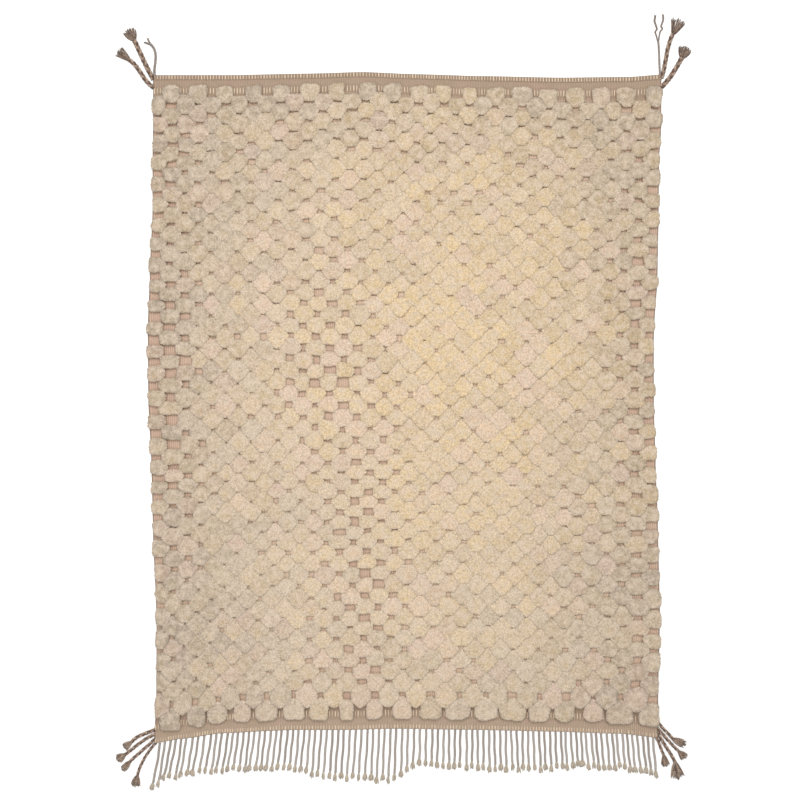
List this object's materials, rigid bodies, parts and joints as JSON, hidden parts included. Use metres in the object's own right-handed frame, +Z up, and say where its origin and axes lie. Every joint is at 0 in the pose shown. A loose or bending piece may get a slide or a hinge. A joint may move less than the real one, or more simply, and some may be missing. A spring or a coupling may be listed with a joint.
{
  "type": "mrirt rug",
  "caption": "Flat pile rug with a checkerboard of domed wool tufts on a flat-woven ground, plain end bands, a corded fringe at one end and tasselled plaits at the corners.",
  "frame": {"origin": "middle of the rug's flat underside, on the floor it lies on", "axes": "+X across the rug, +Y along it towards the end without a fringe, +Z up out of the pile"},
  "size_m": [2.263, 3.0533, 0.0295],
  "materials": {
    "wool_pile": "soft cut wool pile, cream to warm beige, on a pinkish taupe flat weave",
    "fringe_yarn": "twisted greige wool cords with brushed ends",
    "braid_yarn": "plaited light beige and brown wool yarn with brushed tassels",
    "cord_yarn": "thin twisted taupe wool cord"
  },
  "bodies": {
    "root": {"rug_body": "wool_pile", "fringe": "fringe_yarn", "braid_top_left_1": "braid_yarn", "braid_top_left_2": "braid_yarn", "braid_top_right_1": "braid_yarn", "braid_top_right_2": "braid_yarn", "braid_bottom_left_1": "braid_yarn", "braid_bottom_left_2": "braid_yarn", "braid_bottom_left_3": "braid_yarn", "braid_bottom_left_4": "braid_yarn", "braid_bottom_right_1": "braid_yarn", "braid_bottom_right_2": "braid_yarn", "braid_bottom_right_3": "braid_yarn", "braid_bottom_right_4": "braid_yarn", "cord_end_top_left": "cord_yarn", "cord_end_top_right": "cord_yarn"}
  },
  "joints": []
}
